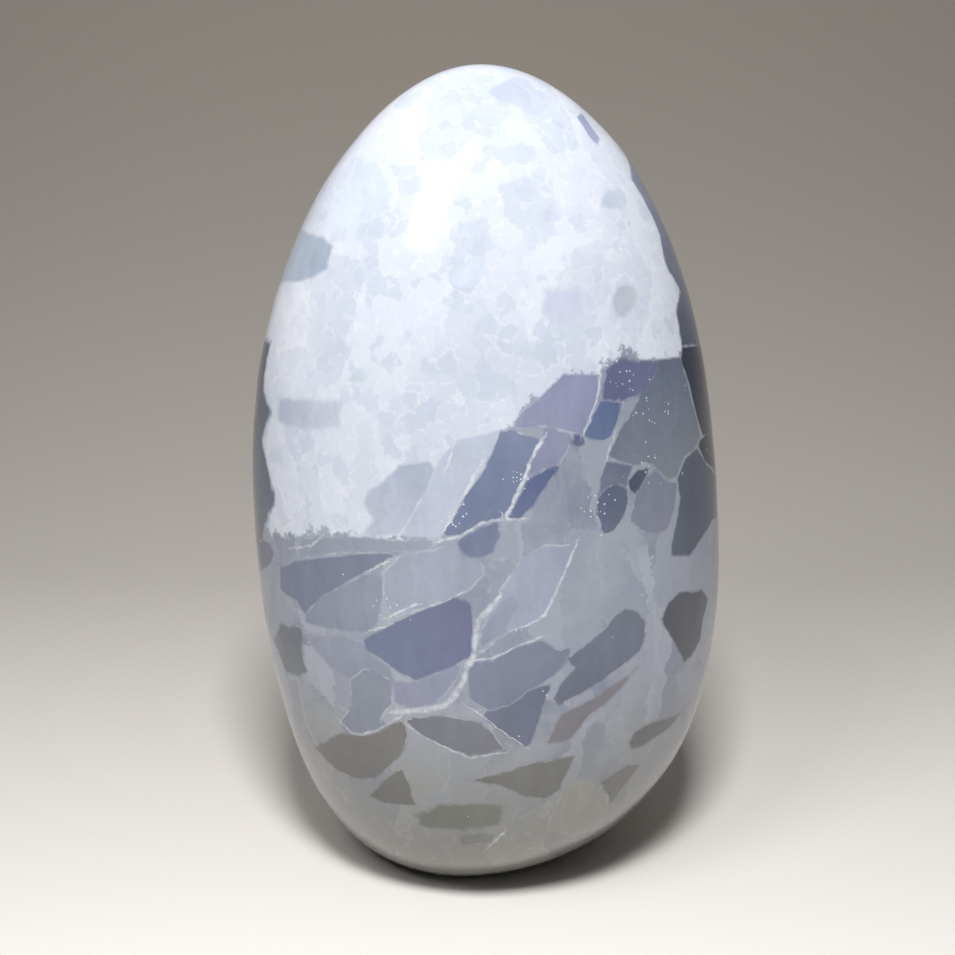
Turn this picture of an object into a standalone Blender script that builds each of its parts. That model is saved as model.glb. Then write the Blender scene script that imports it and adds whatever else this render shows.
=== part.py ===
"""Blue calcite freeform: one hand-polished, egg-shaped stone that stands on a small ground flat.

Run with Blender 4.5. Metres, +Z up, the stone's front towards -Y. The origin is under the middle
of the stone's width and depth, on the plane that the flat rests on.
"""
import math

import bmesh
import bpy
from mathutils import Vector

# The finished stone
HEIGHT = 0.150              # from the ground flat to the crown
HALF_WIDTH = 0.0431         # left and right of the middle line, at mid height
FRONT_DEPTH = 0.0370        # the belly, towards the viewer
BACK_DEPTH = 0.0350         # the back, slightly flatter
GROUND_OFF = 0.0035         # what the grinding wheel took off the lower end

# The girth along the axis, as a share of the widths at mid height. The level runs from -1 at
# the lower end to 1 at the crown, and each number goes with one power of the level.
GIRTH = (1.0, -0.086, 0.159, -0.115, -0.048)

# Where the middle line runs at each level, in metres, by powers of the level: the foot sits to
# the left of the belly. The first number of each sets the stone over its origin.
SIDE_DRIFT = (-0.0004, -0.0031, 0.0026, 0.0054, -0.0055)
FRONT_DRIFT = (0.0011, 0.0006, -0.0010)

# The net of the surface
CAGE_DIVISIONS = 12         # cage faces along one side of the rounded cube
SKIN_LEVELS = 1             # one round of smoothing, 6,912 triangles before grinding
SMOOTHING_DRAW = 0.5        # share of a cage point's rise over its neighbours that smoothing takes

# The finish, as it shows from a step away
MILKY_BLUE = (0.56, 0.61, 0.72, 1.0)
POLISH_ROUGHNESS = 0.12
CALCITE_IOR = 1.57


def clear_scene():
    """Start from an empty file."""
    for old in list(bpy.data.objects):
        bpy.data.objects.remove(old, do_unlink=True)


def new_collection(name):
    """A collection of its own in the scene."""
    collection = bpy.data.collections.new(name)
    bpy.context.scene.collection.children.link(collection)
    return collection


def by_powers(numbers, level):
    """The sum of the numbers, each times its power of the level."""
    return sum(number * level ** power for power, number in enumerate(numbers))


def skin_point(direction):
    """The place on the polished skin that a direction from the stone's heart points to."""
    level = direction.z
    ring = math.sqrt(max(0.0, 1.0 - level * level))
    spread = math.hypot(direction.x, direction.y)
    side = direction.x / spread if spread > 0.0 else 0.0
    away = direction.y / spread if spread > 0.0 else 0.0
    depth = BACK_DEPTH if away > 0.0 else FRONT_DEPTH
    half_axis = 0.5 * (HEIGHT + GROUND_OFF)
    girth = ring * by_powers(GIRTH, level)
    return Vector((
        by_powers(SIDE_DRIFT, level) + HALF_WIDTH * girth * side,
        by_powers(FRONT_DRIFT, level) + depth * girth * away,
        0.5 * (HEIGHT - GROUND_OFF) + half_axis * level,
    ))


def rounded_cube():
    """A cube divided evenly and blown up to a ball of radius 1, with faces of like size."""
    ball = bmesh.new()
    bmesh.ops.create_cube(ball, size=2.0)
    bmesh.ops.subdivide_edges(ball, edges=ball.edges[:], cuts=CAGE_DIVISIONS - 1, use_grid_fill=True)
    for vertex in ball.verts:
        even = [math.tan(0.25 * math.pi * coordinate) for coordinate in vertex.co]
        vertex.co = Vector(even).normalized()
    return ball


def stand_proud(cage):
    """Raise each cage point by what the smoothing will draw it in, so that the skin comes out true."""
    proud = []
    for vertex in cage.verts:
        neighbours = [edge.other_vert(vertex).co for edge in vertex.link_edges]
        middle = sum(neighbours, Vector()) / len(neighbours)
        proud.append(vertex.co + SMOOTHING_DRAW * (vertex.co - middle))
    for vertex, place in zip(cage.verts, proud):
        vertex.co = place


def polished_calcite():
    """Milky blue calcite with a high polish."""
    material = bpy.data.materials.new("polished_blue_calcite")
    material.use_nodes = True
    shader = material.node_tree.nodes["Principled BSDF"]
    shader.inputs["Base Color"].default_value = MILKY_BLUE
    shader.inputs["Roughness"].default_value = POLISH_ROUGHNESS
    shader.inputs["Metallic"].default_value = 0.0
    shader.inputs["IOR"].default_value = CALCITE_IOR
    material.diffuse_color = MILKY_BLUE
    return material


def raw_stone(collection):
    """The whole egg before its foot is ground: a cage under one level of smoothing."""
    cage = rounded_cube()
    for vertex in cage.verts:
        vertex.co = skin_point(vertex.co.copy())
    stand_proud(cage)
    mesh = bpy.data.meshes.new("calcite_freeform")
    cage.to_mesh(mesh)
    cage.free()
    mesh.shade_smooth()
    mesh.materials.append(polished_calcite())
    stone = bpy.data.objects.new("calcite_freeform", mesh)
    collection.objects.link(stone)
    smoothing = stone.modifiers.new("smooth skin", 'SUBSURF')
    smoothing.levels = SKIN_LEVELS
    smoothing.render_levels = SKIN_LEVELS
    return stone


def grinding_plane(collection):
    """A block whose top lies in the resting plane: everything inside it is ground away."""
    block_side = 4.0 * HALF_WIDTH
    block_height = 8.0 * GROUND_OFF
    block = bmesh.new()
    bmesh.ops.create_cube(block, size=1.0)
    bmesh.ops.scale(block, vec=(block_side, block_side, block_height), verts=block.verts[:])
    bmesh.ops.translate(block, vec=(0.0, 0.0, -0.5 * block_height), verts=block.verts[:])
    mesh = bpy.data.meshes.new("grinding_block")
    block.to_mesh(mesh)
    block.free()
    cutter = bpy.data.objects.new("grinding_block", mesh)
    cutter.hide_render = True
    cutter.display_type = 'WIRE'
    collection.objects.link(cutter)
    return cutter


def grind_foot(stone, cutter):
    """Cut the small flat that the stone stands on."""
    cut = stone.modifiers.new("ground flat", 'BOOLEAN')
    cut.operation = 'DIFFERENCE'
    cut.solver = 'EXACT'
    cut.object = cutter


def build():
    """Model the stone."""
    clear_scene()
    stone = raw_stone(new_collection("blue_calcite_freeform"))
    grind_foot(stone, grinding_plane(new_collection("cutters")))


build()
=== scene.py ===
"""Looks of the blue calcite freeform: the crystals, veins and polish of its skin, on a pale studio floor."""
import math

import bpy
import numpy as np
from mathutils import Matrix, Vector
from mathutils.bvhtree import BVHTree


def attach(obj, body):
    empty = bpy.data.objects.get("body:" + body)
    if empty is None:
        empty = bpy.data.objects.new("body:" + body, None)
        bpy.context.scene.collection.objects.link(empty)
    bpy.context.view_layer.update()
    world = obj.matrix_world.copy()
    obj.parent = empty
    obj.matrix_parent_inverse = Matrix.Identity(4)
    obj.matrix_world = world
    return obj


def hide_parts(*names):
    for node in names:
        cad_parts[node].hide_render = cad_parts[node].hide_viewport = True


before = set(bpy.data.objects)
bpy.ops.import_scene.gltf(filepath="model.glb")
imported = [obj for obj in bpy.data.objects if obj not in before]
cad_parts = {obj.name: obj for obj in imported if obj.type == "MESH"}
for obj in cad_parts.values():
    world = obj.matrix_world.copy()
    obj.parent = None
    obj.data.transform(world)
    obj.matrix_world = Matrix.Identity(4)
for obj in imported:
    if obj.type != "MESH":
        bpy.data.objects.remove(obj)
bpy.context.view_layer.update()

MM = 0.001
TINY = 1e-9                    # keeps a division by nothing out of the sums

# The skin, by the same driving dimensions as the solid
HEIGHT = 0.150
HALF_WIDTH = 0.0431
FRONT_DEPTH = 0.0370
BACK_DEPTH = 0.0350
GROUND_OFF = 0.0035
GIRTH = (1.0, -0.086, 0.159, -0.115, -0.048)
SIDE_DRIFT = (-0.0004, -0.0031, 0.0026, 0.0054, -0.0055)
FRONT_DRIFT = (0.0011, 0.0006, -0.0010)
FOOT_ROUND = 0.0005            # radius left by the wheel between the skin and the ground flat

# The net of the fine skin: even squares of about 0.6 mm
GIRTH_CUTS = (3, 26)           # 4 x 27 = 108 columns on each side
RISE_CUTS = (16, 9)            # 17 x 10 = 170 rows up each side
STEEP = 10.0                   # an edge that rises this much more than it runs counts as upright

# Hand polishing leaves the skin very slightly uneven
UNEVEN_WAVES = 26
UNEVEN_HEIGHT = 0.00009
UNEVEN_LENGTHS = (0.011, 0.034)
UNEVEN_SEED = 5

# The photograph's view
PICTURE_SIDE = 955.0
SENSOR = 36.0
LENS = 60.0
VIEW_RISE = math.radians(18.0)
VIEW_TARGET = Vector((-0.00184, 0.0, 0.0756))
VIEW_DISTANCE = 0.2961
NEAR_CLIP = 0.01


def by_powers(numbers, level):
    """The sum of the numbers, each times its power of the level."""
    return sum(number * level ** power for power, number in enumerate(numbers))


def skin_places(directions):
    """The places on the polished skin that unit directions from the stone's heart point to."""
    level = directions[:, 2]
    ring = np.sqrt(np.clip(1.0 - level ** 2, 0.0, 1.0))
    spread = np.maximum(np.hypot(directions[:, 0], directions[:, 1]), TINY)
    side = directions[:, 0] / spread
    away = directions[:, 1] / spread
    depth = np.where(away > 0.0, BACK_DEPTH, FRONT_DEPTH)
    girth = ring * by_powers(GIRTH, level)
    return np.column_stack((
        by_powers(SIDE_DRIFT, level) + HALF_WIDTH * girth * side,
        by_powers(FRONT_DRIFT, level) + depth * girth * away,
        0.5 * (HEIGHT - GROUND_OFF) + 0.5 * (HEIGHT + GROUND_OFF) * level,
    ))


def unevenness(places):
    """How far the hand-polished skin stands out or in at each place: a sum of seeded soft waves."""
    chance = np.random.default_rng(UNEVEN_SEED)
    total = np.zeros(len(places))
    for _ in range(UNEVEN_WAVES):
        heading = chance.normal(size=3)
        heading /= np.linalg.norm(heading)
        length = chance.uniform(*UNEVEN_LENGTHS)
        start = chance.uniform(0.0, 2.0 * math.pi)
        total += np.sin(places @ heading * (2.0 * math.pi / length) + start)
    return total * UNEVEN_HEIGHT / math.sqrt(UNEVEN_WAVES)


def grind(heights):
    """Grind off what is below the floor, with a small round edge where the skin meets the flat."""
    round_edge = (heights + FOOT_ROUND) ** 2 / (4.0 * FOOT_ROUND)
    return np.where(heights > FOOT_ROUND, heights, np.where(heights < -FOOT_ROUND, 0.0, round_edge))


def vertex_places(mesh):
    """The mesh's vertices as rows of x, y and z."""
    flat = np.empty(len(mesh.vertices) * 3)
    mesh.vertices.foreach_get("co", flat)
    return flat.reshape(-1, 3)


def vertex_normals(mesh):
    """The outward normals at the mesh's vertices."""
    flat = np.empty(len(mesh.vertices) * 3)
    mesh.vertices.foreach_get("normal", flat)
    return flat.reshape(-1, 3)


def select_edges(mesh, upright):
    """Select the edges that run up, or all the others."""
    places = vertex_places(mesh)
    ends = np.empty(len(mesh.edges) * 2, dtype=np.int64)
    mesh.edges.foreach_get("vertices", ends)
    ends = ends.reshape(-1, 2)
    run = np.abs(places[ends[:, 0]] - places[ends[:, 1]])
    rising = run[:, 2] > STEEP * np.maximum(run[:, 0], run[:, 1])
    mesh.edges.foreach_set("select", rising if upright else ~rising)


def cut_edges(piece, upright, cuts):
    """Divide the edges of one heading evenly."""
    select_edges(piece.data, upright)
    bpy.ops.object.mode_set(mode='EDIT')
    bpy.ops.mesh.subdivide(number_cuts=cuts)
    bpy.ops.mesh.select_all(action='DESELECT')
    bpy.ops.object.mode_set(mode='OBJECT')


def carved_stone():
    """The stone's whole skin as one fine closed mesh: a cube, divided, blown up and ground."""
    bpy.ops.object.select_all(action='DESELECT')
    bpy.ops.mesh.primitive_cube_add(size=2.0)
    stone = bpy.context.object
    stone.name = "blue_calcite"
    stone.data.name = "blue_calcite"
    bpy.ops.object.mode_set(mode='EDIT')
    bpy.ops.mesh.select_mode(type='EDGE')
    bpy.ops.mesh.select_all(action='DESELECT')
    bpy.ops.object.mode_set(mode='OBJECT')
    for cuts in GIRTH_CUTS:
        cut_edges(stone, upright=False, cuts=cuts)
    for cuts in RISE_CUTS:
        cut_edges(stone, upright=True, cuts=cuts)
    even = np.tan(0.25 * math.pi * vertex_places(stone.data))
    directions = even / np.linalg.norm(even, axis=1, keepdims=True)
    places = skin_places(directions)
    places += directions * unevenness(places)[:, None]
    places[:, 2] = grind(places[:, 2])
    stone.data.vertices.foreach_set("co", places.ravel())
    stone.data.update()
    bpy.ops.object.shade_smooth()
    return stone


def studio_camera():
    """The camera at the photograph's angle, a little above the stone."""
    data = bpy.data.cameras.new("camera")
    data.lens = LENS
    data.sensor_width = SENSOR
    data.clip_start = NEAR_CLIP
    camera = bpy.data.objects.new("camera", data)
    backwards = Vector((0.0, -math.cos(VIEW_RISE), math.sin(VIEW_RISE)))
    camera.location = VIEW_TARGET + VIEW_DISTANCE * backwards
    camera.rotation_euler = (math.radians(90.0) - VIEW_RISE, 0.0, 0.0)
    bpy.context.scene.collection.objects.link(camera)
    bpy.context.scene.camera = camera
    return camera


# The stage
FLOOR_FRONT = -1.2
FLOOR_HALF_WIDTH = 1.2
SWEEP_FOOT = 0.34              # how far behind the stone the backdrop would stand, were it not curved
SWEEP_ROUND = 0.20
SWEEP_HEIGHT = 1.3
SWEEP_SEGMENTS = 28
# Lightness and warmth of the paper by how far behind the stone it is: darker toward the back, painted shade
# that stands in for the lamp's light falling off
PAPER_FRONT, PAPER_BACK = -0.10, 0.34
PAPER_TONES_WITH_PAINTED_FALLOFF = ((-0.10, 0.84, 0.07), (0.0, 0.765, 0.07), (0.05, 0.71, 0.08), (0.11, 0.63, 0.10),
               (0.155, 0.50, 0.13), (0.209, 0.33, 0.17), (0.34, 0.30, 0.19))
WARMTH_IN_GREEN = 0.5          # share of the warmth that green loses too
PAPER_ROUGHNESS = 0.9
PAPER_GLOSS = 0.1


def studio_sweep():
    """A pale floor that curves up into the backdrop."""
    bpy.ops.object.select_all(action='DESELECT')
    bpy.ops.mesh.primitive_plane_add(size=2.0)
    sweep = bpy.context.object
    sweep.name = "studio_sweep"
    floor_length = SWEEP_FOOT - FLOOR_FRONT
    bpy.ops.object.mode_set(mode='EDIT')
    bpy.ops.transform.resize(value=(FLOOR_HALF_WIDTH, 0.5 * floor_length, 1.0))
    bpy.ops.transform.translate(value=(0.0, 0.5 * (SWEEP_FOOT + FLOOR_FRONT), 0.0))
    bpy.ops.mesh.select_mode(type='EDGE')
    bpy.ops.mesh.select_all(action='DESELECT')
    bpy.ops.object.mode_set(mode='OBJECT')
    for edge in sweep.data.edges:
        edge.select = all(sweep.data.vertices[i].co.y > SWEEP_FOOT - MM for i in edge.vertices)
    bpy.ops.object.mode_set(mode='EDIT')
    bpy.ops.mesh.extrude_region_move(TRANSFORM_OT_translate={"value": (0.0, 0.0, SWEEP_HEIGHT)})
    bpy.ops.mesh.select_all(action='DESELECT')
    bpy.ops.object.mode_set(mode='OBJECT')
    for edge in sweep.data.edges:
        ends = [sweep.data.vertices[i].co for i in edge.vertices]
        edge.select = all(end.y > SWEEP_FOOT - MM and end.z < MM for end in ends)
    bpy.ops.object.mode_set(mode='EDIT')
    bpy.ops.mesh.bevel(offset=SWEEP_ROUND, segments=SWEEP_SEGMENTS)
    bpy.ops.object.mode_set(mode='OBJECT')
    bpy.ops.object.shade_smooth()
    return sweep


def lamp(name, place, aim, size, power, mirrored):
    """A soft rectangular panel at one place, aimed at another. The polish mirrors it or doesn't."""
    data = bpy.data.lights.new(name, 'AREA')
    data.shape = 'RECTANGLE'
    data.size, data.size_y = size
    data.energy = power
    panel = bpy.data.objects.new(name, data)
    panel.location = place
    panel.visible_glossy = mirrored
    heading = Vector(aim) - Vector(place)
    panel.rotation_euler = heading.to_track_quat('-Z', 'Y').to_euler()
    bpy.context.scene.collection.objects.link(panel)


def node(tree, kind, **settings):
    """A new node with its settings."""
    new = tree.nodes.new(kind)
    for name, value in settings.items():
        setattr(new, name, value)
    return new


def studio_paper():
    """Pale paper, warm white in front and taupe where it rises behind, darkened toward the back by painted
    shade for the lamp's light falling off.
    """
    material = bpy.data.materials.new("studio_paper")
    material.use_nodes = True
    tree = material.node_tree
    shader = tree.nodes["Principled BSDF"]
    shader.inputs["Roughness"].default_value = PAPER_ROUGHNESS
    shader.inputs["Specular IOR Level"].default_value = PAPER_GLOSS
    coordinates = node(tree, "ShaderNodeTexCoord")
    split = node(tree, "ShaderNodeSeparateXYZ")
    ramp = node(tree, "ShaderNodeValToRGB")
    span = node(tree, "ShaderNodeMapRange")
    span.inputs["From Min"].default_value = PAPER_FRONT
    span.inputs["From Max"].default_value = PAPER_BACK
    tree.links.new(coordinates.outputs["Object"], split.inputs["Vector"])
    tree.links.new(split.outputs["Y"], span.inputs["Value"])
    tree.links.new(span.outputs["Result"], ramp.inputs["Fac"])
    for old in list(ramp.color_ramp.elements)[1:]:
        ramp.color_ramp.elements.remove(old)
    for index, (place, lightness, warmth) in enumerate(PAPER_TONES_WITH_PAINTED_FALLOFF):
        stop = ramp.color_ramp.elements[0] if index == 0 else ramp.color_ramp.elements.new(0.0)
        stop.position = (place - PAPER_FRONT) / (PAPER_BACK - PAPER_FRONT)
        green = lightness * (1.0 - WARMTH_IN_GREEN * warmth)
        stop.color = (lightness, green, lightness * (1.0 - warmth), 1.0)
    tree.links.new(ramp.outputs["Color"], shader.inputs["Base Color"])
    return material


# The lamps: place, aim, size, power in watts, and whether the polish mirrors it
NEAR_LAMP_PLACE = (0.0, -0.24, 0.42)
LAMPS = {
    "near lamp": (NEAR_LAMP_PLACE, (0.0, 0.0, 0.07), (0.09, 0.08), 2.3, False),
    "soft ceiling": ((0.0, 0.0, 0.8), (0.0, 0.0, 0.07), (1.2, 1.2), 1.3, False),
    "mirrored panel": ((-0.187, -0.238, 0.42), (0.0, 0.0, 0.12), (0.13, 0.17), 0.55, True),
}
AIR_COLOUR = (0.9, 0.95, 1.0, 1.0)
AIR_STRENGTH = 0.03

# The light that the photograph's tones hold, which is divided out of them
LAMP_SHARE = 0.125
SKY_SHARE = 0.40
FLOOR_SHARE = 1.65
DIMMEST = 0.15

# Carrying pixels past the stone's rim onto its skin
RIM_REACH = (0.22, 0.38)       # how far from the camera the rim can be
RIM_STEPS = 65
RIM_WRAP = 1.5                 # how far round it goes, by how far past the rim the pixel is

# Crystals read off the photograph: layer, tone where the outline starts, tone at its far end,
# brightness of the edge line, raggedness in mm, and the outline in pixels of the photograph
CRYSTALS = {
    "crown kite": (1, (198, 206, 226), (208, 214, 232), 0.3, 0.3,
        "486,92 500,84 508,79 518,77 526,79 533,88 543,96 551,108 543,110 537,115 529,114 520,108 500,102"),
    "crown sliver": (1, (158, 164, 196), (170, 175, 204), 0.5, 0.2,
        "577,117 581,112 592,128 600,139 597,146 588,135"),
    "scalloped patch": (1, (212, 222, 236), (226, 232, 244), 0.9, 0.5,
        "388,181 392,190 391,200 380,208 372,218 362,221 357,226 355,235 358,242 344,241 330,242 325,238"
        " 323,228 326,218 330,205 340,180 350,176 361,165 376,161 379,170"),
    "left shoulder patch": (2, (176, 188, 206), (196, 206, 220), 0.6, 0.5,
        "316,276 300,282 270,284 270,250 300,228 316,236 323,236 333,247 328,262 329,268"),
    "lens": (1, (213, 222, 240), (220, 228, 244), 0.4, 0.4,
        "451,279 460,270 472,263 488,261 485,272 480,285 468,287 455,285"),
    "pale grain": (1, (208, 213, 232), (214, 220, 236), 0.4, 0.4,
        "543,213 548,206 560,205 562,215 555,222 545,222"),
    "right grain": (1, (194, 204, 222), (204, 212, 228), 0.5, 0.4,
        "601,200 606,192 614,190 622,194 627,203 622,210 603,207"),
    "grey oval": (1, (188, 196, 208), (200, 206, 216), 0.4, 0.5,
        "612,300 616,288 625,284 635,287 638,296 634,308 624,318 615,316"),
    "lilac cloud": (1, (206, 211, 232), (214, 220, 238), 0.1, 1.0, "545,290 590,290 592,318 560,324 543,318"),
    "teal grain": (1, (203, 216, 227), (212, 222, 232), 0.5, 0.3,
        "352,374 357,368 365,367 368,375 363,383 345,382"),
    "left lilac": (1, (193, 199, 217), (205, 211, 226), 0.2, 0.8, "280,398 342,402 340,426 300,430 278,420"),
    # Partly a dark crystal, partly painted shade of the stone's side turned away from the light
    "left navy rim and limb shade": (2, (96, 102, 118), (122, 128, 142), 0.2, 0.9,
        "240,330 271,342 264,376 264,392 271,412 262,440 266,460 276,500 262,540 240,560"),
    # Partly a dark crystal, partly painted shade of the stone's side turned away from the light
    "right navy rim and limb shade": (3, (88, 96, 114), (150, 156, 180), 0.3, 0.5,
        "682,347 720,347 706,250 660,170 622,150 632,180 640,193 650,212 660,235 663,255 668,270 680,290"
        " 676,310"),
    "lilac slab": (2, (148, 153, 182), (156, 160, 186), 0.5, 0.3,
        "563,374 600,375 597,400 583,435 573,433 543,426 512,430 522,410 540,398"),
    "long blade": (1, (134, 144, 170), (116, 128, 158), 0.8, 0.2,
        "500,430 512,430 543,440 537,447 530,462 525,477 518,490 512,507 505,518 480,524 460,536 440,537"
        " 461,500 480,475 490,457"),
    "small panel": (3, (150, 155, 180), (142, 148, 174), 0.4, 0.2,
        "541,440 543,427 573,433 570,445 560,465 547,468 525,477"),
    "dark wedge": (4, (100, 110, 146), (112, 122, 156), 0.4, 0.3,
        "560,465 547,468 527,480 520,495 510,510 505,518 520,520 530,510 543,490 553,478"),
    "violet head": (4, (108, 110, 143), (116, 120, 150), 0.3, 0.7,
        "605,370 622,358 645,362 660,362 656,375 640,395 622,402 600,400"),
    "blue slab": (1, (104, 118, 154), (110, 124, 156), 0.4, 0.3,
        "600,400 622,402 618,420 612,437 600,442 583,436"),
    "dark step": (3, (104, 112, 142), (110, 118, 146), 0.3, 0.2, "573,434 583,436 585,445 572,447"),
    "big grey crystal": (2, (108, 116, 137), (136, 143, 153), 0.6, 0.3,
        "640,361 680,357 687,380 693,405 698,423 700,437 695,448 685,457 677,477 668,480 657,468 647,463"
        " 634,466 607,458 616,437 640,397"),
    # Partly a dark crystal, partly painted shade of the stone's side turned away from the light
    "navy edge and limb shade": (5, (60, 66, 82), (66, 73, 90), 0.3, 0.2,
        "682,347 725,340 735,410 735,432 716,428 703,436 699,425 694,405 688,380 681,360"),
    # Partly a dark crystal, partly painted shade of the stone's side turned away from the light
    "navy corner and limb shade": (4, (60, 68, 83), (70, 78, 92), 0.3, 0.2,
        "700,440 712,420 735,430 735,480 718,478 705,462 698,446"),
    "slate fin": (3, (97, 105, 121), (84, 92, 110), 0.4, 0.3,
        "685,458 697,448 706,463 718,480 735,510 712,520 700,540 690,556 672,556 671,545 677,520 680,497"
        " 677,478"),
    "cloudy grey": (1, (130, 137, 156), (138, 143, 158), 0.3, 0.4,
        "640,480 655,470 668,482 678,482 674,510 668,530 655,535 638,530 630,520 634,500"),
    "dark tooth": (5, (84, 89, 109), (96, 100, 118), 0.5, 0.2,
        "628,482 637,470 650,466 645,480 638,490 633,498"),
    "upper facet": (3, (114, 121, 142), (122, 128, 146), 0.4, 0.2,
        "606,460 634,466 628,478 627,487 618,484 605,490 597,500 600,480"),
    "round dark facet": (4, (98, 106, 131), (108, 114, 136), 0.6, 0.3,
        "607,487 617,484 626,487 629,498 626,512 620,525 612,532 604,536 600,527 597,514 598,498"),
    "pale slab": (2, (184, 192, 211), (196, 202, 218), 0.4, 0.5,
        "400,464 430,462 437,470 425,495 418,505 400,535 360,537 374,519 363,503 370,490 384,481"),
    "pale blade": (4, (196, 203, 220), (192, 199, 216), 0.5, 0.2,
        "437,462 456,440 500,430 490,457 475,480 461,500 440,538 400,537 418,505 428,488"),
    "dark kite": (2, (113, 123, 155), (124, 134, 160), 0.6, 0.3,
        "456,543 464,537 480,528 499,520 500,535 493,552 484,557 470,558 462,552"),
    "bright edged slab": (3, (165, 172, 192), (160, 168, 188), 0.7, 0.3,
        "500,590 520,560 545,545 575,545 568,565 556,592 545,615 528,625 510,632 497,640 480,655 478,640"
        " 485,620 497,603"),
    "inner wedge": (4, (140, 150, 170), (154, 162, 182), 0.2, 0.4,
        "478,650 482,630 495,610 512,592 520,600 505,632"),
    "left strip": (4, (150, 157, 173), (158, 165, 179), 0.5, 0.5,
        "300,538 343,536 400,540 440,541 430,550 343,553 300,558"),
    "banded crystal": (1, (120, 127, 151), (126, 133, 155), 0.4, 0.3,
        "300,560 343,555 367,552 400,553 383,563 357,577 330,593 310,608 305,615 297,600 280,590 280,567"),
    "left facet": (2, (138, 146, 164), (146, 153, 170), 0.4, 0.3,
        "305,615 320,598 343,585 370,572 383,578 383,600 378,622 370,632 345,632 305,622"),
    "middle plate": (5, (166, 173, 191), (158, 166, 184), 0.5, 0.5,
        "383,575 400,556 440,548 457,545 463,558 480,560 484,575 470,590 430,605 395,617 385,605"),
    "violet nick": (4, (112, 114, 140), (122, 124, 146), 0.2, 0.3,
        "250,545 264,540 270,543 274,555 270,565 252,576"),
    "grey tongue": (4, (108, 115, 128), (114, 120, 130), 0.5, 0.6,
        "281,624 300,626 303,635 302,648 304,662 308,672 300,676 287,673 274,640"),
    "violet fan": (3, (114, 126, 158), (106, 109, 144), 0.5, 0.3,
        "363,640 380,630 395,622 415,612 440,603 455,597 470,602 474,620 472,640 474,655 450,668 430,676"
        " 415,681 398,672 375,655 365,650"),
    "pale flank": (1, (152, 158, 176), (148, 155, 174), 0.3, 0.6,
        "303,632 345,636 363,642 370,655 390,665 395,680 390,700 350,680 330,665 315,650"),
    "lower flank": (4, (142, 149, 165), (138, 145, 162), 0.7, 0.3,
        "350,680 365,668 392,680 392,705 382,715 380,728 362,734 345,733 340,722 352,705"),
    "lilac foot": (5, (152, 156, 180), (144, 150, 174), 0.4, 0.4,
        "393,682 415,681 440,672 465,662 455,680 445,695 430,706 410,708 393,703"),
    "heart slab": (2, (127, 134, 156), (120, 127, 150), 0.4, 0.4,
        "466,672 474,662 492,660 515,648 540,640 560,650 575,645 562,668 545,683 530,690 510,705 490,712"
        " 470,700"),
    "diamond point": (1, (112, 119, 140), (102, 110, 136), 0.5, 0.2,
        "480,716 495,702 530,690 552,683 545,700 540,718 530,745 524,747 505,735"),
    "right blade": (3, (112, 119, 136), (104, 111, 131), 0.5, 0.3,
        "627,608 638,612 645,622 646,635 640,650 628,662 610,675 590,688 560,705 552,700 560,685 575,668"
        " 565,660 592,640 605,628 615,615"),
    "mauve flank": (4, (126, 124, 134), (130, 128, 136), 0.3, 0.5,
        "545,745 560,715 590,700 620,680 640,665 610,700 590,715 570,740"),
    "dark fin": (1, (82, 86, 99), (92, 95, 104), 0.3, 0.4,
        "661,620 668,603 680,592 702,590 708,600 703,620 700,640 692,655 684,662 678,650 668,632"),
    "dark leaf": (3, (118, 122, 132), (126, 129, 138), 0.7, 0.5,
        "405,722 415,716 450,716 482,722 495,735 505,750 470,756 450,750 435,743 420,735"),
    "grey shoulder": (1, (116, 116, 116), (124, 124, 122), 0.4, 0.4,
        "320,743 342,733 362,735 380,731 402,718 408,735 404,750 395,762 375,778 360,780 340,772 315,748"),
    "dark triangle": (2, (112, 112, 111), (118, 118, 116), 0.5, 0.3,
        "369,796 385,780 402,767 410,785 415,805 385,803"),
    "belly shade": (4, (114, 115, 114), (122, 123, 120), 0.4, 0.4,
        "463,780 510,771 530,763 575,755 568,770 560,790 545,800 520,795 500,785"),
    "right shade": (1, (108, 108, 112), (118, 118, 118), 0.3, 0.5,
        "629,742 635,732 650,722 681,712 672,725 645,745 632,750"),
    "right tooth": (2, (120, 121, 122), (126, 127, 126), 0.4, 0.3,
        "600,782 612,775 628,765 641,764 630,778 610,804 607,795"),
    "foot band": (3, (120, 122, 116), (128, 130, 124), 0.2, 0.8,
        "415,815 440,805 470,803 505,805 500,824 460,830 420,826"),
    "foot lens": (1, (134, 136, 130), (140, 142, 136), 0.3, 0.4, "458,838 470,833 500,833 490,842 462,845"),
    "pale foot": (4, (164, 164, 158), (158, 158, 154), 0.4, 0.5,
        "558,800 570,780 590,780 607,795 608,808 600,825 580,835 545,830"),
}
LAYERS = 5

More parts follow.
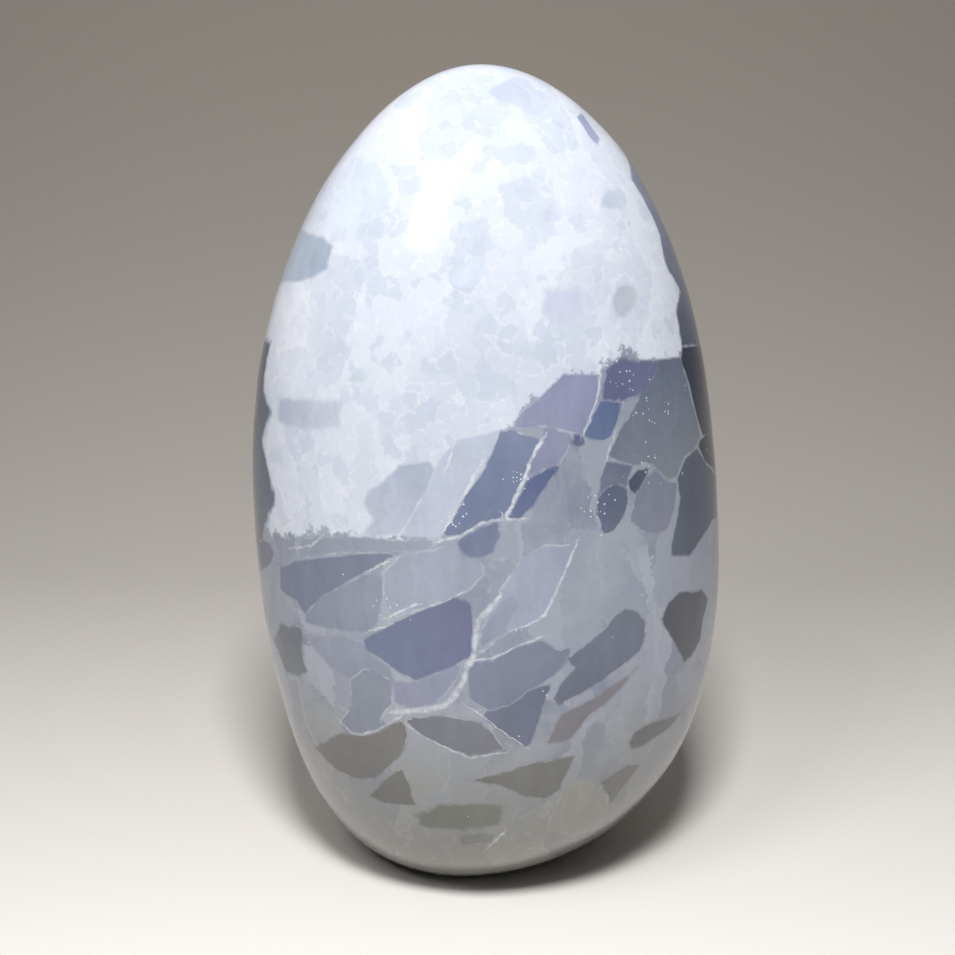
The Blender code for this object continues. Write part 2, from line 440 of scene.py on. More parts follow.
# Bright fractures: half width in mm, strength, and the line in pixels of the photograph
FRACTURES = {
    "blade fracture": (0.50, 1.0, "543,440 537,447 530,462 525,477 518,490 512,507 505,518"),
    "blade rim": (0.45, 0.9, "483,460 472,480 462,500 448,525"),
    "blade foot": (0.40, 0.8, "440,541 460,536 480,524 500,519 520,520"),
    "white streak": (0.30, 0.9, "453,445 447,468"),
    "grey divide": (0.22, 0.8, "615,433 607,457"),
    "pale divide": (0.30, 0.7, "600,375 597,400 583,435"),
    "main vein": (0.75, 0.8,
        "497,600 487,612 478,622 475,640 474,655 467,668 463,682 455,695 445,706 425,710 395,712"),
    "vein branch": (0.30, 0.7, "474,660 492,659 515,647 540,638"),
    "diamond line": (0.20, 0.9, "470,708 490,722 527,748"),
    "flank line": (0.30, 0.8, "341,722 350,732 362,735 378,730 400,717"),
    "slab line": (0.35, 0.8, "575,547 568,565 556,592 545,615 528,625"),
    "scratches": (0.35, 0.9, "391,616 400,611 415,605"),
    "lower scratches": (0.30, 0.9, "370,631 387,626"),
    "upper scratches": (0.25, 0.9, "371,570 385,563"),
    "dotted line": (0.25, 0.6, "415,612 440,603 460,594"),
    "foot streak": (0.40, 0.9, "488,848 496,840 503,833"),
    "leaf edge": (0.30, 0.7, "405,724 420,735 445,747 470,758 505,752"),
    "edge fleck": (0.35, 0.7, "292,548 312,545 320,538"),
    "comma": (0.55, 1.0, "366,370 369,379 374,378 380,358"),
    "bright line": (0.35, 0.7, "420,383 452,383"),
    "lower left line": (0.25, 0.5, "300,690 305,720 318,745"),
}

# Where the sugary white calcite ends, in pixels of the photograph
SUGAR_EDGE = (
    "735,330 700,345 683,354 668,358 657,362 644,361 625,348 610,358 600,374 563,374 552,387 540,398"
    " 530,400 522,408 512,428 500,430 480,446 468,470 455,500 440,537 400,540 360,538 343,535 320,530"
    " 307,530 298,537 270,532 240,520")

# Clusters of tiny pits whose glints are painted as white dots: place and reach in pixels of the photograph
GLINTING_PIT_CLUSTERS = (
    "625,376,14 638,410,12 652,425,7 665,405,7 685,389,7 648,466,12 598,508,12 380,602,5 546,694,4"
    " 516,628,5 611,638,4 345,640,5 395,616,14 520,480,9 455,520,10")
PIXEL_SPAN = 0.19 * MM         # what one pixel spans at the stone

# How high the sugary calcite begins at the back, where it isn't seen
BACK_BORDER = 0.070
BACK_SWING = 0.010             # rises and falls twice round the stone
BACK_SWING_START = 0.6
BACK_RIPPLE = 0.004            # and, less, seven times
BACK_START = 1.5               # turn from the front at which the back's line takes over, in radians
BACK_SPAN = 0.5

# Crystals of the unseen sides and back, lengths in mm
FAR_SEED = 11
FAR_COUNT = 90
FAR_TURNS = (math.radians(-80.0), math.radians(260.0))
FAR_LEVELS = (-0.85, 0.12)
FAR_LEANS = (58.0, 25.0)
FAR_LEAN_SPREAD = 14.0
FAR_LENGTHS = (5.0, 13.0)
FAR_WIDTHS = (2.5, 6.0)
FAR_CORNERS = 6
FAR_TONES = ((112, 122, 150), (140, 148, 168), (98, 106, 130),
             (158, 164, 182), (124, 122, 146), (120, 124, 128))
FAR_TONE_SPREAD = 12.0
FAR_EDGE = 0.5
FAR_RAG = 0.4
FAR_FRONT = 0.012              # none has its middle in front of this

# How crystals and fractures are stored on the skin, in mm
BARE_TONE = 0.3
CRYSTAL_MARGIN = 6.0
CRYSTAL_FACING = 0.1           # least share by which the skin faces as the crystal does
FRACTURE_GROUPS = 2
FRACTURE_AWAY = 9.0
FRACTURE_MARGIN = 3.0
FRACTURE_HOLD = 1.6
FRACTURE_FACING = 0.2


def rows_in(words):
    """The rows of numbers that a line of text lists."""
    return np.array([[float(number) for number in row.split(",")] for row in words.split()])


class Caster:
    """Carries pixels of the photograph onto the stone's skin, and round its rim."""

    def __init__(self, stone, camera):
        bpy.context.view_layer.update()
        self.tree = BVHTree.FromObject(stone, bpy.context.evaluated_depsgraph_get())
        self.eye = camera.matrix_world.translation.copy()
        self.turn = camera.matrix_world.to_3x3()

    def heading(self, pixel):
        """The direction in which the camera sees a pixel."""
        scale = SENSOR / LENS / PICTURE_SIDE
        half = 0.5 * PICTURE_SIDE
        aim = Vector(((pixel[0] - half) * scale, (half - pixel[1]) * scale, -1.0))
        return (self.turn @ aim).normalized()

    def place(self, pixel):
        """The place and normal on the skin that a pixel shows, or that lies as far round the rim."""
        heading = self.heading(pixel)
        hit, normal, _, _ = self.tree.ray_cast(self.eye, heading)
        if hit is None:
            gap, reach = min((self.tree.find_nearest(self.eye + heading * reach)[3], reach)
                             for reach in np.linspace(*RIM_REACH, RIM_STEPS))
            hit, normal, _, _ = self.tree.find_nearest(self.eye + heading * (reach + RIM_WRAP * gap))
        return np.array(hit), np.array(normal)

    def line(self, words):
        """The places and normals of all the pixels that a line of text lists."""
        cast = [self.place(pixel) for pixel in rows_in(words)]
        return np.array([spot for spot, _ in cast]), np.array([normal for _, normal in cast])


def plane_axes(outward):
    """Two unit directions across and up a plane that faces outward."""
    across = np.cross((0.0, 0.0, 1.0), outward)
    across /= np.linalg.norm(across)
    return across, np.cross(outward, across)


def flat_view(places, spots, normals):
    """Places and spots in mm on the plane that touches the stone at the spots, and the plane's heading."""
    middle = spots.mean(axis=0)
    outward = normals.mean(axis=0)
    outward /= np.linalg.norm(outward)
    axes = np.column_stack(plane_axes(outward)) / MM
    return (places - middle) @ axes, (spots - middle) @ axes, outward


def segment_reach(points, start, end):
    """Distance of points to a segment, and the side that each is on."""
    run = end - start
    share = np.clip(((points - start) @ run) / max(run @ run, TINY), 0.0, 1.0)
    offset = points - start - share[:, None] * run
    side = run[0] * offset[:, 1] - run[1] * offset[:, 0]
    return np.hypot(offset[:, 0], offset[:, 1]), side


def inside_reach(points, outline):
    """Signed distance to a closed outline, positive inside."""
    nearest = np.full(len(points), np.inf)
    inside = np.zeros(len(points), dtype=bool)
    for start, end in zip(outline, np.roll(outline, -1, axis=0)):
        distance, _ = segment_reach(points, start, end)
        nearest = np.minimum(nearest, distance)
        above = (start[1] > points[:, 1]) != (end[1] > points[:, 1])
        rise = end[1] - start[1] if end[1] != start[1] else TINY
        crossing = start[0] + (points[:, 1] - start[1]) * (end[0] - start[0]) / rise
        inside ^= above & (points[:, 0] < crossing)
    return np.where(inside, nearest, -nearest)


def linear(tone):
    """A tone as seen on a screen, 0 to 255, as linear light."""
    share = np.asarray(tone, dtype=float) / 255.0
    return np.where(share <= 0.04045, share / 12.92, ((share + 0.055) / 1.055) ** 2.4)


def light_on(places, normals):
    """The light that falls on each place of the skin, as a share of that on white paper."""
    to_lamp = np.array(NEAR_LAMP_PLACE) - places
    reach = np.linalg.norm(to_lamp, axis=1)
    facing = np.clip((to_lamp * normals).sum(axis=1) / reach, 0.0, 1.0)
    upward = 0.5 + 0.5 * normals[:, 2]
    total = LAMP_SHARE * facing / reach ** 2 + SKY_SHARE * upward + FLOOR_SHARE * (1.0 - upward)
    return np.maximum(total, DIMMEST)


def write_colours(mesh, name, rows):
    """Store four numbers at each vertex."""
    layer = mesh.attributes.new(name, 'FLOAT_COLOR', 'POINT')
    layer.data.foreach_set("color", rows.astype(np.float32).ravel())


def write_vectors(mesh, name, rows):
    """Store three numbers at each vertex."""
    layer = mesh.attributes.new(name, 'FLOAT_VECTOR', 'POINT')
    layer.data.foreach_set("vector", rows.astype(np.float32).ravel())


def far_crystals(chance):
    """Crystals of like style for the sides and the back, which the photograph doesn't show."""
    made = []
    for _ in range(FAR_COUNT):
        turn = chance.uniform(*FAR_TURNS)
        level = chance.uniform(*FAR_LEVELS)
        lean = math.radians(chance.choice(FAR_LEANS) + chance.uniform(-FAR_LEAN_SPREAD, FAR_LEAN_SPREAD))
        length = chance.uniform(*FAR_LENGTHS)
        width = chance.uniform(*FAR_WIDTHS)
        corners = np.sort(chance.uniform(0.0, 2.0 * math.pi, size=FAR_CORNERS))
        tone = np.array(FAR_TONES[chance.integers(len(FAR_TONES))])
        layer = int(chance.integers(1, LAYERS + 1))
        made.append((layer, turn, level, lean, length, width, corners, tone))
    return made


class CrystalLayers:
    """The crystals of each layer as numbers at the skin's vertices: tone, reach inside, edge and rag."""

    def __init__(self, mesh):
        self.mesh = mesh
        self.places = vertex_places(mesh)
        self.normals = vertex_normals(mesh)
        self.light = light_on(self.places, self.normals)
        count = len(self.places)
        self.tones = np.full((LAYERS, count, 3), BARE_TONE)
        self.reach = np.full((LAYERS, count), -CRYSTAL_MARGIN)
        self.traits = np.zeros((LAYERS, count, 3))

    def lay(self, layer, spots, normals, tones, edge, rag):
        """Lay one crystal in its layer. Where two of a layer meet, the one that reaches deeper shows."""
        flat, outline, outward = flat_view(self.places, spots, normals)
        size = np.abs(outline).max() + CRYSTAL_MARGIN
        faces = self.normals @ outward > CRYSTAL_FACING
        close = np.flatnonzero((np.abs(flat).max(axis=1) < size) & faces)
        inner = inside_reach(flat[close], outline)
        run = outline[np.argmax(np.linalg.norm(outline - outline[0], axis=1))] - outline[0]
        share = np.clip(((flat[close] - outline[0]) @ run) / (run @ run), 0.0, 1.0)[:, None]
        tone = linear(tones[0]) * (1.0 - share) + linear(tones[1]) * share
        wins = inner > self.reach[layer - 1][close]
        index = close[wins]
        self.reach[layer - 1][index] = inner[wins]
        self.tones[layer - 1][index] = tone[wins] / self.light[index, None]
        self.traits[layer - 1][index] = (edge, rag, 0.0)

    def lay_far(self):
        """Lay the seeded crystals of the sides and the back."""
        chance = np.random.default_rng(FAR_SEED)
        for layer, turn, level, lean, length, width, corners, tone in far_crystals(chance):
            ring = math.sqrt(1.0 - level * level)
            heading = np.array((ring * math.cos(turn), ring * math.sin(turn), level))
            middle = skin_places(heading[None])[0]
            if middle[1] < FAR_FRONT:
                continue
            outward = self.normals[np.argmin(np.linalg.norm(self.places - middle, axis=1))]
            across, upward = plane_axes(outward)
            along = math.cos(lean) * across + math.sin(lean) * upward
            aside = math.cos(lean) * upward - math.sin(lean) * across
            outline = np.outer(length * np.cos(corners), along) + np.outer(width * np.sin(corners), aside)
            tones = (tone, tone + chance.uniform(-FAR_TONE_SPREAD, FAR_TONE_SPREAD))
            self.lay(layer, middle + MM * outline, outward[None], tones, FAR_EDGE, FAR_RAG)

    def lay_front(self, caster):
        """Lay the crystals that the photograph shows."""
        for layer, near_tone, far_tone, edge, rag, words in CRYSTALS.values():
            spots, normals = caster.line(words)
            self.lay(layer, spots, normals, (near_tone, far_tone), edge, rag)

    def store(self):
        """Write the layers onto the mesh: tone and reach in one attribute, edge and rag in another."""
        for layer in range(LAYERS):
            rows = np.column_stack((self.tones[layer], self.reach[layer]))
            write_colours(self.mesh, "crystal_%d" % (layer + 1), rows)
            write_vectors(self.mesh, "traits_%d" % (layer + 1), self.traits[layer])


def paint_crystals(mesh, caster):
    """Write every crystal onto the skin."""
    layers = CrystalLayers(mesh)
    layers.lay_far()
    layers.lay_front(caster)
    layers.store()


def paint_fractures(mesh, caster):
    """Write the bright fractures: signed distance from the line, its half width and its strength."""
    places = vertex_places(mesh)
    normals = vertex_normals(mesh)
    fractures = list(FRACTURES.values())
    for group in range(FRACTURE_GROUPS):
        rows = np.zeros((len(places), 3))
        rows[:, 0] = FRACTURE_AWAY
        nearest = np.full(len(places), FRACTURE_AWAY)
        for half_width, strength, words in fractures[group::FRACTURE_GROUPS]:
            flat, line, outward = flat_view(places, *caster.line(words))
            size = np.abs(line).max() + FRACTURE_MARGIN
            faces = normals @ outward > FRACTURE_FACING
            close = np.flatnonzero((np.abs(flat).max(axis=1) < size) & faces)
            for start, end in zip(line[:-1], line[1:]):
                distance, side = segment_reach(flat[close], start, end)
                wins = distance < nearest[close]
                hit = close[wins]
                nearest[hit] = distance[wins]
                held = distance[wins] < FRACTURE_HOLD
                signed = np.copysign(distance[wins], side[wins])
                rows[hit] = np.column_stack((signed, half_width * held, strength * held))
        write_vectors(mesh, "fractures_%d" % (group + 1), rows)


def sugar_border(own_turn, caster):
    """How high the sugary calcite begins at each turn about the stone."""
    spots, _ = caster.line(SUGAR_EDGE)
    edge = np.array(sorted(zip(np.arctan2(spots[:, 0], -spots[:, 1]), spots[:, 2])))
    front = np.interp(own_turn, edge[:, 0], edge[:, 1])
    back = BACK_BORDER + BACK_SWING * np.sin(2.0 * own_turn + BACK_SWING_START)
    back += BACK_RIPPLE * np.sin(7.0 * own_turn)
    behind = np.clip((np.abs(own_turn) - BACK_START) / BACK_SPAN, 0.0, 1.0)
    return front * (1.0 - behind) + back * behind


def paint_zones(mesh, caster):
    """Write how deep in the sugary zone each place is in mm, its share of painted pit glints and its light.
    """
    places = vertex_places(mesh)
    own_turn = np.arctan2(places[:, 0], -places[:, 1])
    sugar = (places[:, 2] - sugar_border(own_turn, caster)) / MM
    sparkle = np.zeros(len(places))
    for x, y, reach in rows_in(GLINTING_PIT_CLUSTERS):
        spot, _ = caster.place((x, y))
        radius = reach * PIXEL_SPAN
        sparkle = np.maximum(sparkle, np.exp(-((places - spot) ** 2).sum(axis=1) / radius ** 2))
    light = light_on(places, vertex_normals(mesh))
    write_vectors(mesh, "zones", np.column_stack((sugar, sparkle, light)))


def group_of(name, inputs, outputs):
    """An empty shader node group with its sockets."""
    group = bpy.data.node_groups.new(name, 'ShaderNodeTree')
    for label, kind in inputs:
        group.interface.new_socket(name=label, in_out='INPUT', socket_type="NodeSocket" + kind)
    for label, kind in outputs:
        group.interface.new_socket(name=label, in_out='OUTPUT', socket_type="NodeSocket" + kind)
    return group, group.nodes.new("NodeGroupInput"), group.nodes.new("NodeGroupOutput")


def feed(tree, socket, value):
    """Link an output to an input, or set the input to a plain value."""
    if isinstance(value, bpy.types.NodeSocket):
        tree.links.new(value, socket)
    else:
        socket.default_value = value


def maths(tree, operation, first, second=0.0, third=0.0):
    """One sum, product or other operation on numbers."""
    new = node(tree, "ShaderNodeMath", operation=operation)
    for socket, value in zip(new.inputs, (first, second, third)):
        feed(tree, socket, value)
    return new.outputs[0]


def scaled(tree, colour, share):
    """A colour times a number."""
    new = node(tree, "ShaderNodeVectorMath", operation='SCALE')
    feed(tree, new.inputs[0], colour)
    feed(tree, new.inputs["Scale"], share)
    return new.outputs[0]


def split_vector(tree, vector):
    """The X, Y and Z of a vector."""
    new = node(tree, "ShaderNodeSeparateXYZ")
    tree.links.new(vector, new.inputs[0])
    return new.outputs


def blend(tree, share, first, second):
    """Mix two colours. The Mix node has its colour sockets after those for numbers and vectors."""
    new = node(tree, "ShaderNodeMix", data_type='RGBA')
    for index, value in zip(MIX_INPUTS, (share, first, second)):
        feed(tree, new.inputs[index], value)
    return new.outputs[MIX_OUTPUT]


def soft_step(tree, value, low, high, start=0.0, end=1.0):
    """A smooth rise from start to end as the value goes from low to high."""
    new = node(tree, "ShaderNodeMapRange", interpolation_type='SMOOTHSTEP')
    for socket, number in zip(new.inputs, (value, low, high, start, end)):
        feed(tree, socket, number)
    return new.outputs[0]


def noise(tree, place, settings, output="Fac"):
    """Soft noise, 0 to 1, by place in metres."""
    new = node(tree, "ShaderNodeTexNoise")
    for name, value in zip(("Scale", "Detail", "Roughness"), settings):
        new.inputs[name].default_value = value
    tree.links.new(place, new.inputs["Vector"])
    return new.outputs[output]


def mosaic(tree, place, scale, feature='F1'):
    """Cells like grown grains."""
    new = node(tree, "ShaderNodeTexVoronoi", feature=feature)
    new.inputs["Scale"].default_value = scale
    tree.links.new(place, new.inputs["Vector"])
    return new


def cell_values(tree, cells):
    """Three chance values, 0 to 1, of each cell."""
    new = node(tree, "ShaderNodeSeparateColor")
    tree.links.new(cells.outputs["Color"], new.inputs[0])
    return new.outputs


def cell_borders(tree, place, scale, reach):
    """1 on the borders between cells, falling to 0 at the reach from them."""
    distance = mosaic(tree, place, scale, 'DISTANCE_TO_EDGE').outputs["Distance"]
    return soft_step(tree, distance, 0.0, reach, 1.0, 0.0)


def stored(tree, name):
    """The numbers stored on the skin under one name."""
    return node(tree, "ShaderNodeAttribute", attribute_name=name).outputs


# Where the Mix node keeps the sockets of a colour mix
MIX_INPUTS = (0, 6, 7)
MIX_OUTPUT = 2

# One layer of crystals, lengths in mm
RAG_REACH = 2.4                # how far a border strays, by its rag
BLUR_BY_RAG = 0.75             # half width of a border, by its rag
BLUR_LEAST = 0.10
CLOUD_DEPTH = 0.62             # how much clouds lighten and darken a crystal
LINE_INSET = 0.05
LINE_REACH = 0.30
LINE_STRENGTH = 0.6


def crystal_layer_group():
    """One layer of crystals over what is below it, with ragged borders and bright edge lines."""
    inputs = (("Below", "Color"), ("Tone", "Color"), ("Reach", "Float"), ("Traits", "Vector"),
              ("Ragged", "Float"), ("Cloud", "Float"), ("Patches", "Float"), ("Line Tone", "Color"))
    group, given, made = group_of("crystal layer", inputs, (("Color", "Color"),))
    edge, rag, _ = split_vector(group, given.outputs["Traits"])
    ragged = maths(group, 'MULTIPLY', given.outputs["Ragged"], rag)
    reach = maths(group, 'MULTIPLY_ADD', ragged, RAG_REACH, given.outputs["Reach"])
    blur = maths(group, 'MULTIPLY_ADD', rag, BLUR_BY_RAG, BLUR_LEAST)
    inside = soft_step(group, reach, maths(group, 'MULTIPLY', blur, -1.0), blur)
    shade = maths(group, 'MULTIPLY_ADD', given.outputs["Cloud"], CLOUD_DEPTH, 1.0 - 0.5 * CLOUD_DEPTH)
    body = blend(group, inside, given.outputs["Below"], scaled(group, given.outputs["Tone"], shade))
    beside = maths(group, 'ABSOLUTE', maths(group, 'SUBTRACT', reach, LINE_INSET))
    line = soft_step(group, beside, 0.0, LINE_REACH, LINE_STRENGTH, 0.0)
    line = maths(group, 'MULTIPLY', line, maths(group, 'MULTIPLY', edge, given.outputs["Patches"]))
    group.links.new(blend(group, line, body, given.outputs["Line Tone"]), made.inputs["Color"])
    return group


# Soft noises: scale in a metre, detail and roughness
BEND_NOISE = (260.0, 5.0, 0.68)
CLOUD_NOISE = (90.0, 4.0, 0.6)
WIDE_NOISE = (28.0, 2.0, 0.5)
STREAK_NOISE = (95.0, 4.0, 0.6)
FINE_NOISE = (900.0, 3.0, 0.6)
RAG_NOISE = (520.0, 3.0, 0.65)
PATCH_NOISE = (330.0, 2.0, 0.6)
PATCH_SPAN = (0.44, 0.60)
BEND_REACH = 0.0050            # how far noise moves the grains' borders

# How grains and streaks lean, by turn and stretch, and how many grains there are in a metre
GRAIN_LEAN = (math.radians(32.0), (1.7, 1.2, 0.62))
STREAK_LEAN = (math.radians(30.0), (5.0, 2.0, 0.7))
COARSE_GRAINS = 82.0
COARSE_BORDER = 0.035
FINE_GRAINS = 330.0
FINE_BORDER = 0.10


def bent_place(tree, place):
    """Places pushed about by noise, so that what is drawn by them has bent borders."""
    shift = node(tree, "ShaderNodeVectorMath", operation='SUBTRACT')
    tree.links.new(noise(tree, place, BEND_NOISE, "Color"), shift.inputs[0])
    shift.inputs[1].default_value = (0.5, 0.5, 0.5)
    bent = node(tree, "ShaderNodeVectorMath", operation='MULTIPLY_ADD')
    tree.links.new(shift.outputs[0], bent.inputs[0])
    bent.inputs[1].default_value = (BEND_REACH, BEND_REACH, BEND_REACH)
    tree.links.new(place, bent.inputs[2])
    return bent.outputs[0]


def leaning(tree, place, turn, stretch):
    """Places turned about the stone's depth and stretched, so that what is drawn by them leans."""
    turned = node(tree, "ShaderNodeMapping")
    turned.inputs["Rotation"].default_value = (0.0, turn, 0.0)
    turned.inputs["Scale"].default_value = stretch
    tree.links.new(place, turned.inputs["Vector"])
    return turned.outputs[0]


class Patterns:
    """The patterns, by place in the stone, that its colours are made from."""

    def __init__(self, tree):
        self.place = node(tree, "ShaderNodeTexCoord").outputs["Object"]
        self.bent = bent_place(tree, self.place)
        self.cloud = noise(tree, self.place, CLOUD_NOISE)
        self.wide = noise(tree, self.place, WIDE_NOISE)
        self.fine = noise(tree, self.place, FINE_NOISE)
        self.streak = noise(tree, leaning(tree, self.bent, *STREAK_LEAN), STREAK_NOISE)
        self.inner = maths(tree, 'MULTIPLY_ADD', self.streak, 0.5, maths(tree, 'MULTIPLY', self.cloud, 0.5))
        self.ragged = maths(tree, 'SUBTRACT', noise(tree, self.place, RAG_NOISE), 0.5)
        self.patches = soft_step(tree, noise(tree, self.place, PATCH_NOISE), *PATCH_SPAN)
        lean = leaning(tree, self.bent, *GRAIN_LEAN)
        self.coarse = cell_values(tree, mosaic(tree, lean, COARSE_GRAINS))
        self.coarse_borders = cell_borders(tree, lean, COARSE_GRAINS, COARSE_BORDER)
        self.sugar, self.sparkle, self.light = split_vector(tree, stored(tree, "zones")["Vector"])


# Tones as seen on a screen, and where and how strongly each shows
CLEAR_DEEP = (136, 144, 163)
CLEAR_PALE = (180, 186, 198)
CLEAR_STREAK = (158, 165, 180)
CLEAR_CLOUD = (166, 172, 184)
CLEAR_LINE = (198, 203, 212)
# Greys of the foot, whose warm tint is painted light bounced up from the pale floor
FOOT_BOUNCE_GREY = (148, 149, 144)
FOOT_BOUNCE_PALE = (162, 162, 156)
STREAK_SPAN = (0.40, 0.62)
STREAK_SHARE = 0.5
CLOUD_SPAN = (0.42, 0.66)
FOOT_HEIGHTS = (0.006, 0.052)
FOOT_PALE_SPAN = (0.3, 0.9)
CLEAR_LINE_SHARE = 0.22

SUGAR_WHITE = (228, 233, 244)
SUGAR_BLUE = (212, 219, 233)
SUGAR_GRAIN = (203, 211, 228)
SUGAR_LINE = (250, 251, 255)
SUGAR_CLOUD = (242, 244, 250)
SUGAR_GRAIN_SPAN = (0.55, 0.95)
SUGAR_GRAIN_SHARE = 0.6
SUGAR_LINE_SHARE = 0.38
SUGAR_CLOUD_SPAN = (0.5, 0.7)
SUGAR_CLOUD_SHARE = 0.4
SUGAR_RAG = 7.0                # how far the zone's border strays, in mm
SUGAR_SPAN = (-0.5, 0.6)       # and how wide it is


def over(tree, colour, coats):
    """Lay tones over a colour, each by its own share."""
    for share, tone in coats:
        colour = blend(tree, share, colour, tuple(linear(tone)) + (1.0,))
    return colour


def clear_colour(tree, patterns):
    """The clear calcite between the drawn crystals: blue-grey grains and clouds, greyer and warmer at the
    foot, where the warm tint is painted light bounced up from the floor.
    """
    low = soft_step(tree, split_vector(tree, patterns.place)["Z"], *FOOT_HEIGHTS, 1.0, 0.0)
    borders = maths(tree, 'MULTIPLY', patterns.coarse_borders, patterns.patches)
    return over(tree, tuple(linear(CLEAR_DEEP)) + (1.0,), (
        (patterns.coarse[0], CLEAR_PALE),
        (soft_step(tree, patterns.streak, *STREAK_SPAN, 0.0, STREAK_SHARE), CLEAR_STREAK),
        (soft_step(tree, patterns.cloud, *CLOUD_SPAN), CLEAR_CLOUD),
        # painted floor bounce: warm grey laid over the lowest part of the stone, by height
        (low, FOOT_BOUNCE_GREY),
        (maths(tree, 'MULTIPLY', low, soft_step(tree, patterns.coarse[1], *FOOT_PALE_SPAN)), FOOT_BOUNCE_PALE),
        (maths(tree, 'MULTIPLY', borders, CLEAR_LINE_SHARE), CLEAR_LINE),
    ))


def sugar_colour(tree, patterns):
    """The sugary calcite of the crown: milk white, with fine grains of pale blue."""
    grains = cell_values(tree, mosaic(tree, patterns.bent, FINE_GRAINS))
    borders = cell_borders(tree, patterns.bent, FINE_GRAINS, FINE_BORDER)
    borders = maths(tree, 'MULTIPLY', borders, patterns.patches)
    return over(tree, tuple(linear(SUGAR_WHITE)) + (1.0,), (
        (patterns.coarse[1], SUGAR_BLUE),
        (soft_step(tree, grains[0], *SUGAR_GRAIN_SPAN, 0.0, SUGAR_GRAIN_SHARE), SUGAR_GRAIN),
        (maths(tree, 'MULTIPLY', borders, SUGAR_LINE_SHARE), SUGAR_LINE),
        (soft_step(tree, patterns.wide, *SUGAR_CLOUD_SPAN, 0.0, SUGAR_CLOUD_SHARE), SUGAR_CLOUD),
    ))


# The white of fractures, edge lines and painted pit glints, and how it holds where little light falls
FRACTURE_WHITE = (238, 242, 250)
WHITE_BY_LIGHT = 0.72
WHITE_LEAST = 0.62

FRACTURE_RAG = 0.9             # how far a fracture strays from its line, in mm
FRACTURE_FINEST = 0.02
FRACTURE_CORE = 0.2            # share of the half width that is wholly white
FRACTURE_ROUGH_SPAN = (0.40, 0.60)
FRACTURE_THINNEST = 0.4

# Painted glints: white dots in the base colour that stand in for light caught by tiny pits
SPARKLE_GRAINS = 1700.0
SPARKLE_SPAN = (0.22, 0.34)
SPARKLE_THICK = 0.42           # share of the grains that sparkle in a cluster
SPARKLE_RARE = 0.0015          # and outside one


def fracture_white(tree, light):
    """The white of fractures, as the stone's own colour under the light on it."""
    share = maths(tree, 'MAXIMUM', maths(tree, 'DIVIDE', WHITE_BY_LIGHT, light), WHITE_LEAST)
    return scaled(tree, tuple(linear(FRACTURE_WHITE)), share)


def with_crystals(tree, colour, patterns, white):
    """Lay the stored layers of crystals over a colour."""
    group = crystal_layer_group()
    for layer in range(1, LAYERS + 1):
        painted = stored(tree, "crystal_%d" % layer)
        traits = stored(tree, "traits_%d" % layer)["Vector"]
        values = (colour, painted["Color"], painted["Alpha"], traits,
                  patterns.ragged, patterns.inner, patterns.patches, white)
        step = node(tree, "ShaderNodeGroup", node_tree=group)
        for socket, value in zip(step.inputs, values):
            tree.links.new(value, socket)
        colour = step.outputs["Color"]
    return colour


def with_fractures(tree, colour, patterns, white):
    """Draw the stored fractures over a colour, rough along their length."""
    rough = soft_step(tree, patterns.fine, *FRACTURE_ROUGH_SPAN, FRACTURE_THINNEST, 1.0)
    for group in range(1, FRACTURE_GROUPS + 1):
        distance, half_width, strength = split_vector(tree, stored(tree, "fractures_%d" % group)["Vector"])
        beside = maths(tree, 'ABSOLUTE', maths(tree, 'MULTIPLY_ADD', patterns.ragged, FRACTURE_RAG, distance))
        across = maths(tree, 'DIVIDE', beside, maths(tree, 'MAXIMUM', half_width, FRACTURE_FINEST))
        line = maths(tree, 'MULTIPLY', soft_step(tree, across, FRACTURE_CORE, 1.0, 1.0, 0.0), strength)
        colour = blend(tree, maths(tree, 'MULTIPLY', line, rough), colour, white)
    return colour


def sparkle_dots(tree, patterns):
    """Painted glints: white dots for the light that tiny pits catch, many in the stored clusters and few
    elsewhere.
    """
    dots = mosaic(tree, patterns.place, SPARKLE_GRAINS)
    dot = soft_step(tree, dots.outputs["Distance"], *SPARKLE_SPAN, 1.0, 0.0)
    least = maths(tree, 'MULTIPLY_ADD', patterns.sparkle, -SPARKLE_THICK, 1.0 - SPARKLE_RARE)
    return maths(tree, 'MULTIPLY', dot, maths(tree, 'GREATER_THAN', cell_values(tree, dots)[0], least))


# The polish, and the light that goes into the stone
MOTTLE = 0.12
POLISH_LEAST = 0.07
POLISH_SPREAD = 0.10
CALCITE_IOR = 1.57
DEPTH_WEIGHT = 0.12
DEPTH_RADIUS = (1.0, 1.0, 1.2)
DEPTH_SCALE = 0.0015
BUMP_STRENGTH = 0.12
BUMP_DISTANCE = 0.0002


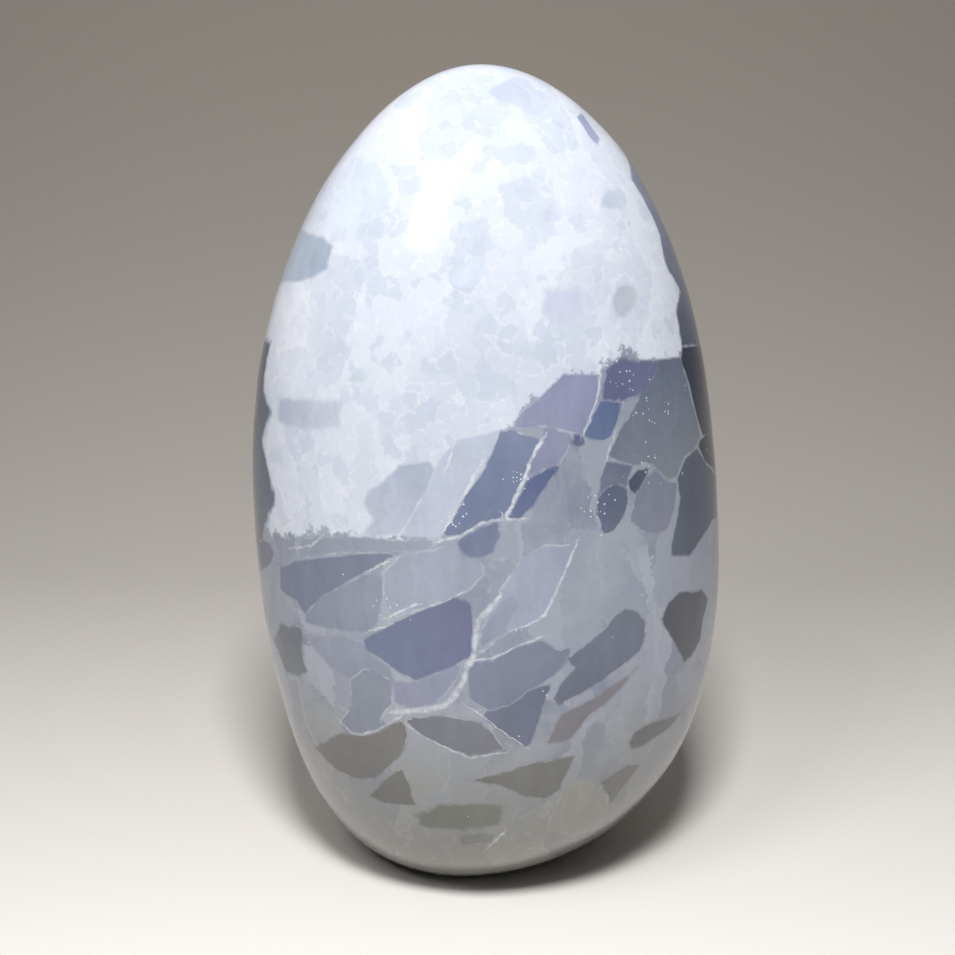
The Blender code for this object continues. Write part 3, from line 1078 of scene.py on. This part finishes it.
def polished_blue_calcite():
    """Milky blue calcite: sugary white crown, clear blue-grey crystals, white fractures, high polish."""
    material = bpy.data.materials.new("polished_blue_calcite")
    material.use_nodes = True
    tree = material.node_tree
    shader = tree.nodes["Principled BSDF"]
    patterns = Patterns(tree)
    depth = maths(tree, 'MULTIPLY_ADD', patterns.ragged, SUGAR_RAG, patterns.sugar)
    sugar = soft_step(tree, depth, *SUGAR_SPAN)
    colour = blend(tree, sugar, clear_colour(tree, patterns), sugar_colour(tree, patterns))
    colour = scaled(tree, colour, maths(tree, 'DIVIDE', 1.0, patterns.light))
    white = fracture_white(tree, patterns.light)
    colour = with_crystals(tree, colour, patterns, white)
    colour = with_fractures(tree, colour, patterns, white)
    # Painted pit glints: white dots in the base colour; the same dots dent the bump as the real pits
    sparkle = sparkle_dots(tree, patterns)
    colour = blend(tree, sparkle, colour, white)
    colour = scaled(tree, colour, maths(tree, 'MULTIPLY_ADD', patterns.fine, MOTTLE, 1.0 - 0.5 * MOTTLE))
    tree.links.new(colour, shader.inputs["Base Color"])
    roughness = maths(tree, 'MULTIPLY_ADD', patterns.fine, POLISH_SPREAD, POLISH_LEAST)
    tree.links.new(roughness, shader.inputs["Roughness"])
    shader.inputs["IOR"].default_value = CALCITE_IOR
    shader.inputs["Subsurface Weight"].default_value = DEPTH_WEIGHT
    shader.inputs["Subsurface Radius"].default_value = DEPTH_RADIUS
    shader.inputs["Subsurface Scale"].default_value = DEPTH_SCALE
    bump = node(tree, "ShaderNodeBump")
    bump.inputs["Strength"].default_value = BUMP_STRENGTH
    bump.inputs["Distance"].default_value = BUMP_DISTANCE
    tree.links.new(maths(tree, 'SUBTRACT', patterns.wide, sparkle), bump.inputs["Height"])
    tree.links.new(bump.outputs["Normal"], shader.inputs["Normal"])
    return material


def studio_lights():
    """A near lamp over the front edge, a soft ceiling, and the panel that the crown mirrors."""
    for name, settings in LAMPS.items():
        lamp(name, *settings)
    world = bpy.data.worlds.new("studio air")
    bpy.context.scene.world = world
    world.use_nodes = True
    world.node_tree.nodes["Background"].inputs["Color"].default_value = AIR_COLOUR
    world.node_tree.nodes["Background"].inputs["Strength"].default_value = AIR_STRENGTH


camera = studio_camera()
stone = carved_stone()
caster = Caster(stone, camera)
paint_crystals(stone.data, caster)
paint_fractures(stone.data, caster)
paint_zones(stone.data, caster)
stone.data.materials.clear()
stone.data.materials.append(polished_blue_calcite())
sweep = studio_sweep()
sweep.data.materials.append(studio_paper())
studio_lights()
bpy.context.scene.view_settings.view_transform = 'Standard'
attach(stone, "root")
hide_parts("calcite_freeform")
